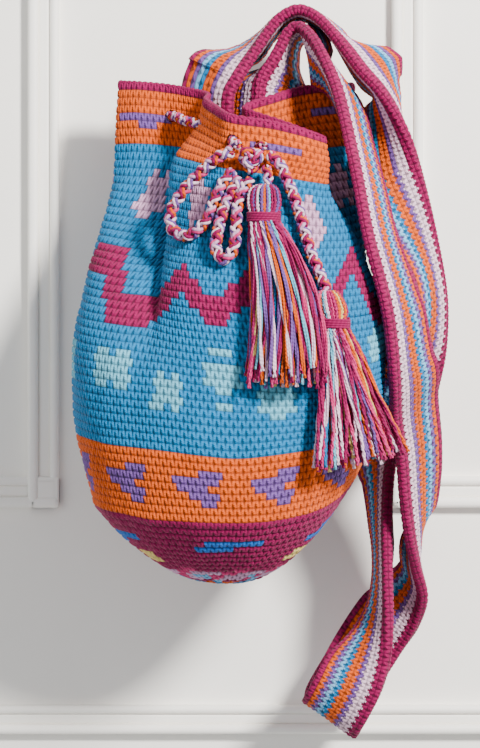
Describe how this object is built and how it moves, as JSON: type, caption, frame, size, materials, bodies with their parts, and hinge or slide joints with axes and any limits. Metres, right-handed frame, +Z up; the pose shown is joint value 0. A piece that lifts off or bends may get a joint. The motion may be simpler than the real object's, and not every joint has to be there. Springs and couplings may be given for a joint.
{
  "type": "crocheted mochila bag",
  "caption": "Crocheted drawstring bucket bag with a round base, a wide striped shoulder strap folded along its middle, and a tied cord that ends in tassels.",
  "frame": {"origin": "middle of the rim's back edge, midway between the two places where it is held up", "axes": "+Z up, -Y towards the front with the bow and tassels, +X to the right of someone facing the front"},
  "size_m": [0.2753, 0.2226, 0.5447],
  "materials": {
    "body_yarn": "single crochet in turquoise cotton with orange and magenta bands",
    "strap_yarn": "magenta crochet with lengthwise white, lilac, orange and blue stripes",
    "cord_yarn": "round braid of magenta, white, orange and lilac yarn",
    "tassel_yarn": "loose twisted yarn ends in magenta, white, orange and lilac",
    "sewing_yarn": "magenta cotton yarn"
  },
  "bodies": {
    "root": {"bag_body": "body_yarn", "strap": "strap_yarn", "strap_stitching_left": "sewing_yarn", "strap_stitching_right": "sewing_yarn", "drawstring": "cord_yarn", "bow_knot": "cord_yarn", "bow_loop_left": "cord_yarn", "bow_loop_lower": "cord_yarn", "drawstring_end_upper": "cord_yarn", "drawstring_end_lower": "cord_yarn", "tassel_upper_strands": "tassel_yarn", "tassel_upper_binding": "sewing_yarn", "tassel_lower_strands": "tassel_yarn", "tassel_lower_binding": "sewing_yarn"}
  },
  "joints": []
}
